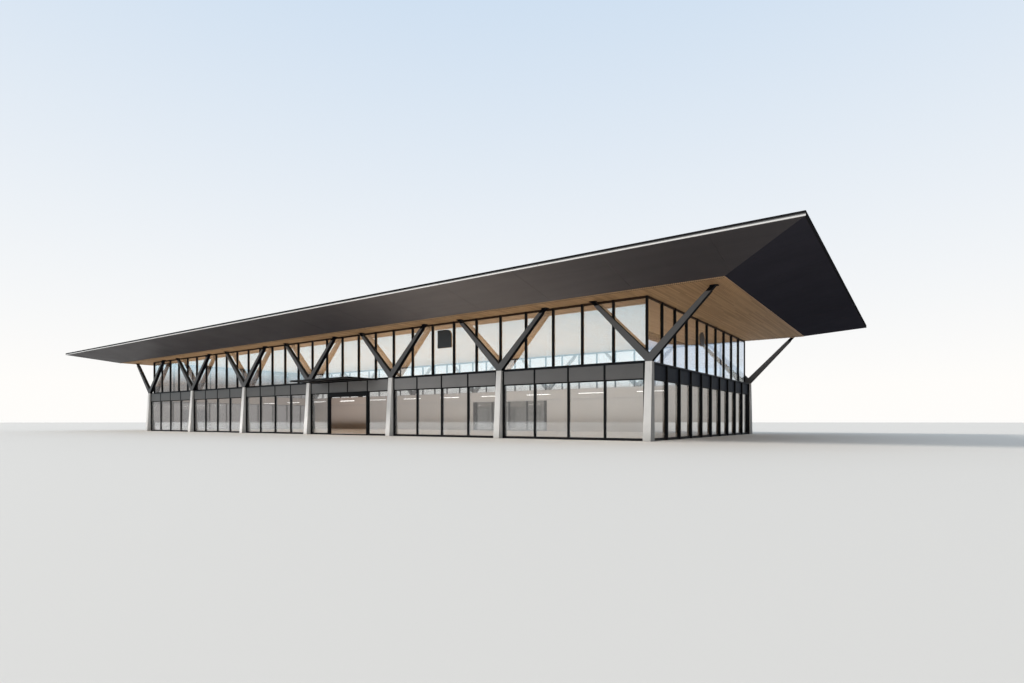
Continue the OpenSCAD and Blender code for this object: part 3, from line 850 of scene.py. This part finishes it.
# Forks with lighter faces, and sides and heads near black as painted shade; a rounded bolted shoe
# round each head is in the same painted-shade black.
def steelForks(side):
    bm = nodeCopy(side + "_struts")
    bevelEdges(bm, sharpEdges(bm, 12), fork["edge"])
    bm.normal_update()
    headZ = soffitZ - fork["head"]
    # Side faces and the heads take the near-black copy: painted shade.
    for face in bm.faces:
        if abs(face.normal.y) < facing or face.calc_center_median().z > headZ:
            face.material_index = 1
    finishPiece(bm, side + "_forks", "strutFace", [side + "_struts"],
                extra=["strutShadedSide"])
    bm = newMesh()
    slope = fork["slope"] if side == "back" else 0.0
    y, top = -fork["y"], soffitZ + slope * (fork["y"] - fork["shoeY"])
    foot = top - fork["shoeDeep"]
    for i in range(bays + 1):
        for hand in (-1, 1):
            x = columnX(i) + hand * (fork["reach"] - fork["tip"] / 2)
            made = addBox(bm, (x - fork["shoeX"], y - fork["shoeY"], foot),
                          (x + fork["shoeX"], y + fork["shoeY"], top))
            upright = {e for v in made for e in v.link_edges if rise(e) > fork["shoeDeep"] / 2}
            bevelEdges(bm, upright, fork["round"], 6)
            for dx in (fork["boltSet"] - fork["shoeX"], fork["shoeX"] - fork["boltSet"]):
                addRod(bm, fork["bolt"], fork["boltLong"], (x + dx, y, foot), 6)
    if slope:  # the back heads end under the sloping eave
        for vert in bm.verts:
            vert.co.z += slope * (-vert.co.y - fork["y"] + fork["shoeY"])
    finishPiece(bm, side + "_fork_shoes", "strutShadedSide", wall=side)


for side in ("front", "back"):
    for i in range(bays + 1):
        castColumn(f"{side}_column_{i + 1}")
    steelForks(side)
print("columns and forks made")


ceiling = {"width": 0.031, "deep": 0.024, "board": 0.03, "gap": 0.006, "closer": 0.15,
           "closerBite": 0.004, "capHalf": 0.012, "capDrop": 0.02, "capRise": 0.004,
           "capDeep": 0.012}


def repeatRow(piece, count):
    rows = piece.modifiers.new("rows", "ARRAY")
    rows.use_relative_offset = False
    rows.use_constant_offset = True
    rows.constant_offset_displace = (steps["batten"], 0, 0)
    rows.count = count


def timberCeiling():
    low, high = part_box("timber_ceiling")
    pitch, half, top = steps["batten"], ceiling["width"] / 2, low.z + ceiling["deep"]
    bm = newMesh()
    addBox(bm, (low.x, low.y, top - bite), high)
    finishPiece(bm, "ceiling_backing", "ceilingDark", ["timber_ceiling"])
    count = int((high.x - low.x - 2 * ceiling["board"]) / pitch)
    first = (low.x + high.x) / 2 - (count - 1) * pitch / 2
    first = (math.floor(first / pitch) + 0.5) * pitch
    last = first + (count - 1) * pitch
    bm = newMesh()
    addBox(bm, (first - half, low.y, low.z), (first + half, high.y, top), fineEdge)
    repeatRow(finishPiece(bm, "ceiling_battens", "timber"), count)
    # Dark closers between the battens' ends along both long edges.
    bm = newMesh()
    x0, x1 = first + half - ceiling["closerBite"], first + pitch - half + ceiling["closerBite"]
    for y0, y1 in ((low.y, low.y + ceiling["closer"]), (high.y - ceiling["closer"], high.y)):
        addBox(bm, (x0, y0, low.z - bite), (x1, y1, top))
    repeatRow(finishPiece(bm, "ceiling_closers", "ceilingDark"), count - 1)
    bm = newMesh()
    for y0 in (low.y + 2 * bite, high.y - 2 * bite - ceiling["capDeep"]):
        addBox(bm, (first - ceiling["capHalf"], y0, low.z - ceiling["capDrop"]),
               (first + ceiling["capHalf"], y0 + ceiling["capDeep"], low.z + ceiling["capRise"]))
    repeatRow(finishPiece(bm, "ceiling_end_caps", "timberLitEdge"), count)
    bm = newMesh()
    for x0, x1 in ((low.x, first - half - ceiling["gap"]), (last + half + ceiling["gap"], high.x)):
        addBox(bm, (x0, low.y, low.z), (x1, high.y, top), softEdge)
    finishPiece(bm, "ceiling_edge_boards", "timberLitEdge")


timberCeiling()
print("timber ceiling made")


eave = {"joint": 0.006, "deep": 0.004, "tilt": 0.2061}
edgeRun = {"length": 1.5, "endSet": 0.3, "joint": 0.004, "deep": 0.003, "shadedChannel": 0.02,
           "channelZ": 4.003, "channelDeep": 0.004}


# Faces grouped by the solid that they belong to.
def islands(bm):
    left, groups = set(bm.faces), []
    while left:
        stack, group = [left.pop()], []
        while stack:
            face = stack.pop()
            group.append(face)
            near = {f for e in face.edges for f in e.link_faces} & left
            left -= near
            stack.extend(near)
        groups.append(group)
    return groups


def slopingEaves():
    for side, x, y in (("front", 0, -1), ("back", 0, 1), ("left", -1, 0), ("right", 1, 0)):
        name = side + "_eave"
        low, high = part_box(name)
        bm = nodeCopy(name)
        axis, across, step = (0, (1, 0, 0), "eaveX") if y else (1, (0, 1, 0), "eaveY")
        down = (x * eave["tilt"], y * eave["tilt"], -1.0)
        cutGrooves(bm, across, spread(low[axis], high[axis], steps[step]), eave["joint"],
                   eave["deep"], [down])
        finishPiece(bm, name + "_sheets", "eave" if y else "endEave", [name])


# The light trim shows along the front and back only; at both ends it takes the dark coping finish
# as painted shade, and its upper part round the channel is grey as painted shade.
def roofEdge():
    low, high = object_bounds()
    for name, coat, slotName in (("edge_trim", "trim", "trim_aluminium"),
                                 ("edge_coping", "coping", "coping_metal")):
        bm = nodeCopy(name)
        upward = [(0, 0, 1)] if name == "edge_coping" else []
        if not upward:  # a shadow channel along the upper part of the trim
            cutGrooves(bm, (0, 0, 1), [edgeRun["channelZ"]], edgeRun["shadedChannel"],
                       edgeRun["channelDeep"], frontBack)
        for axis, across, ways in ((0, (1, 0, 0), frontBack), (1, (0, 1, 0), leftRight)):
            places = spread(low[axis] + edgeRun["endSet"], high[axis] - edgeRun["endSet"],
                            edgeRun["length"])
            cutGrooves(bm, across, places, edgeRun["joint"], edgeRun["deep"], ways + upward)
        # The ends take the coping finish and the upper part round the channel the grey one: both
        # painted shade.
        for group in () if upward else islands(bm):
            xs = [v.co.x for f in group for v in f.verts]
            for face in group:
                if max(xs) - min(xs) < 1:  # runs along an end
                    face.material_index = 1
                elif face.calc_center_median().z > edgeRun["channelZ"] - edgeRun["shadedChannel"] / 2:
                    face.material_index = 2
        finishPiece(bm, name + "_lengths", coat, [name], extra=["coping", "shadedChannel"])


roof = {"lapHalf": 0.02, "lapHigh": 0.0025, "inset": 0.12, "clear": 0.5, "outlets": 6,
        "outletRadius": 0.09, "outletHigh": 0.022, "outletTaper": 0.7}


def roofDeck():
    low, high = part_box("roof_deck")
    bm = newMesh()
    for x in spread(low.x + roof["clear"], high.x - roof["clear"], steps["lap"]):
        addBox(bm, (x - roof["lapHalf"], low.y + roof["inset"], high.z - bite),
               (x + roof["lapHalf"], high.y - roof["inset"], high.z + roof["lapHigh"]), bite)
    finishPiece(bm, "membrane_laps", "membrane")
    bm = newMesh()
    for i in range(roof["outlets"]):
        x = low.x + (high.x - low.x) * (i + 0.5) / roof["outlets"] + steps["lap"] / 4
        at = (x, (low.y + high.y) / 2, high.z + roof["outletHigh"] / 2 - bite)
        addRod(bm, roof["outletRadius"], roof["outletHigh"], at, 32, roof["outletTaper"])
    bevelEdges(bm, sharpEdges(bm, 30), softEdge, 2)
    finishPiece(bm, "roof_outlets", "coping")
    coatNode("roof_deck", "membrane")


slopingEaves()
roofEdge()
roofDeck()
coatNode("floor_slab", "floor")
print("eaves, roof edge, deck and floor made")


lamp = {"length": 1.05, "width": 0.05, "height": 0.022, "z": 1.5, "wire": 0.003, "first": 0.45,
        "step": 2.25, "count": 11, "shade": 0.008, "insetX": 0.006, "insetY": 0.005,
        "wiresAt": 0.8}


def pendantLamps():
    bodies, tubes = newMesh(), newMesh()
    half, side, z = lamp["length"] / 2, lamp["width"] / 2, lamp["z"]
    tubeX, tubeY = half - lamp["insetX"], side - lamp["insetY"]
    wireFoot = z + lamp["height"] - 2 * bite
    for i in range(lamp["count"]):
        x = lamp["first"] + (i - lamp["count"] // 2) * lamp["step"]
        addBox(bodies, (x - half, midY - side, z + lamp["shade"]),
               (x + half, midY + side, z + lamp["height"]), softEdge)
        addBox(tubes, (x - tubeX, midY - tubeY, z),
               (x + tubeX, midY + tubeY, z + lamp["shade"] + bite), fineEdge)
        for hand in (-lamp["wiresAt"], lamp["wiresAt"]):
            at = (x + hand * half, midY, (soffitZ + wireFoot) / 2)
            addRod(bodies, lamp["wire"], soffitZ - wireFoot, at, 6)
    finishPiece(bodies, "pendant_lamp_bodies", "lampBody")
    finishPiece(tubes, "pendant_lamp_tubes", "lamp")


sign = {"x": 6.81, "width": 0.58, "low": 2.8, "high": 3.367, "corner": 0.2, "thick": 0.018,
        "gap": 0.014, "round": 0.22, "roundX": -0.49, "roundZ": 3.02, "pin": 0.006,
        "pinLong": 0.01, "pinSet": 0.06, "pinDrop": 0.16, "roundPin": 0.1}


# Rounds a plate's rim and stands it on short pins before the upper glass.
def hangPlate(bm, wall, x, pinXs, pinZs):
    bevelEdges(bm, sharpEdges(bm, 40), softEdge, 2)
    y = -(sign["gap"] + facade["glass"] / 2) / 2
    for pinX in pinXs:
        for pinZ in pinZs:
            addRod(bm, sign["pin"], sign["pinLong"], (pinX, y, pinZ), alongY=True)
    finishPiece(bm, "sign_plate_" + wall, "sign", wall=wall, x=x)


# Two bare plates: one with a rounded corner in front, and a round one at the right-hand end.
def signPlates():
    y0, y1 = -sign["gap"] - sign["thick"], -sign["gap"]
    half, pinSet, pinOut = sign["width"] / 2, sign["pinSet"], sign["roundPin"]
    bm = newMesh()
    made = addBox(bm, (-half, y0, sign["low"]), (half, y1, sign["high"]))
    corner = {e for v in made for e in v.link_edges
              if all(w.co.x > 0 and w.co.z > sign["high"] - bite for w in e.verts)}
    bevelEdges(bm, corner, sign["corner"], 14)
    hangPlate(bm, "front", sign["x"], (pinSet - half, half - pinSet),
              (sign["low"] + pinSet, sign["high"] - sign["pinDrop"]))
    bm = newMesh()
    addRod(bm, sign["round"], sign["thick"], (0, (y0 + y1) / 2, sign["roundZ"]), 64, alongY=True)
    hangPlate(bm, "right", sign["roundX"], (-pinOut, pinOut),
              (sign["roundZ"] - pinOut, sign["roundZ"] + pinOut))


pendantLamps()
signPlates()
print("lamps and sign places made")


view = {"at": (18.933, -17.804, 0.475), "turn": 35.444, "lens": 20.01, "sensor": 36.0,
        "shiftY": 0.0784, "far": 2000}
cameraData = bpy.data.cameras.new("viewCamera")
cameraData.lens = view["lens"]
cameraData.sensor_width = view["sensor"]
cameraData.shift_y = view["shiftY"]
cameraData.clip_end = view["far"]
scene.camera = addObject("viewCamera", cameraData, view["at"],
                         (math.radians(90), 0, math.radians(view["turn"])))

# Soft panels that the camera doesn't see shine down from the ceiling, up from low in the hall
# and, as light from the ground, up before the front. Each has y, z, turn, size, power and
# colour. In "sides", axis, slope and start say where a panel of the sky begins.
panelGap = 1.0
hallSize = (hall["length"] - panelGap, hall["depth"] - panelGap)
studio = {"floorSize": 900.0, "floorColor": (0.62, 0.585, 0.54), "floorDrop": 0.001,
          "sunHeight": 34.0, "sunFrom": (-0.815, -0.58), "sunStrength": 2.6, "sunSoftness": 14.0,
          "sunColor": (1.0, 0.95, 0.89), "horizon": (1.0, 0.985, 0.96), "skyFade": (1.8, -0.1),
          "sky": (0.62, 0.74, 0.88), "flag": (0.3, 0.29, 0.28), "flagTop": 0.07,
          "flagEdge": 40.0, "panel": (0.95, 0.93, 0.9), "panelTop": (3.0, -0.9),
          "sides": (("X", 8.0, -1.2, (0.55, 0.69, 0.87)), ("Y", -4.0, 0.2, (0.95, 1.25, 1.4))),
          "hallLightDown": (midY, 3.4, 0.0, hallSize, 150.0, (1.0, 0.98, 0.96)),
          "hallLightUp": (midY, 0.3, 180.0, hallSize, 1800.0, (1.0, 1.04, 1.1)),
          "frontBounce": (-9.0, 0.05, 170.0, (34.0, 4.0), 160.0, (1.0, 0.97, 0.94))}
bm = bmesh.new()
bmesh.ops.create_grid(bm, x_segments=1, y_segments=1, size=studio["floorSize"] / 2)
bmesh.ops.translate(bm, vec=(0, 0, -studio["floorDrop"]), verts=bm.verts)
floorMesh = bpy.data.meshes.new("studioFloor")
bm.to_mesh(floorMesh)
bm.free()
paleFloor, _ = newMaterial(Base_Color=(*studio["floorColor"], 1), Roughness=0.9)
floorMesh.materials.append(paleFloor)
addObject("studioFloor", floorMesh)


def newLight(name, kind, energy, color):
    light = bpy.data.lights.new(name, kind)
    light.energy, light.color = energy, color
    return light


sunData = newLight("keyLight", "SUN", studio["sunStrength"], studio["sunColor"])
sunData.angle = math.radians(studio["sunSoftness"])
toSun = Vector((*studio["sunFrom"], 0)).normalized()
toSun.z = math.tan(math.radians(studio["sunHeight"]))
addObject("keyLight", sunData, turn=toSun.to_track_quat("Z", "Y").to_euler())
for name in ("hallLightDown", "hallLightUp", "frontBounce"):
    y, z, turn, size, power, color = studio[name]
    panelData = newLight(name, "AREA", power, color)
    panelData.shape = "RECTANGLE"
    panelData.size, panelData.size_y = size
    panel = addObject(name, panelData, (0, y, z), (math.radians(turn), 0, 0))
    panel.visible_camera = panel.visible_glossy = panel.visible_transmission = False

# Even soft light from above. Out of the camera's sight there are a bright panel before the
# front and one at the right, tinted in reflections only, and a low dark flag that keeps the
# lower panes clear of glare.
world = bpy.data.worlds.new("softSky")
scene.world = world
world.use_nodes = True
tree = world.node_tree
toSky = addNode(tree, "TexCoord").outputs["Generated"]
up = axisOf(tree, toSky, "Z")
sky = mixColor(tree, ramp(tree, up, *studio["skyFade"]), studio["horizon"], studio["sky"])
rays = addNode(tree, "LightPath").outputs
edge = studio["flagEdge"]
low = ramp(tree, up, -edge, edge * studio["flagTop"] + 0.5)
high = ramp(tree, up, *studio["panelTop"])
around = sky
for axis, slope, start, color in studio["sides"]:
    toward = ramp(tree, axisOf(tree, toSky, axis), slope, start)
    tinted = mixColor(tree, rays["Is Glossy Ray"], studio["panel"], color)
    panelColor = mixColor(tree, high, mixColor(tree, low, tinted, studio["flag"]), sky)
    around = mixColor(tree, toward, around, panelColor)
lit = mixColor(tree, minus(tree, 1.0, rays["Is Camera Ray"]), sky, around)
tree.links.new(lit, tree.nodes["Background"].inputs["Color"])
scene.view_settings.view_transform = "Standard"
scene.view_settings.look = "None"
print("camera, floor and light set")
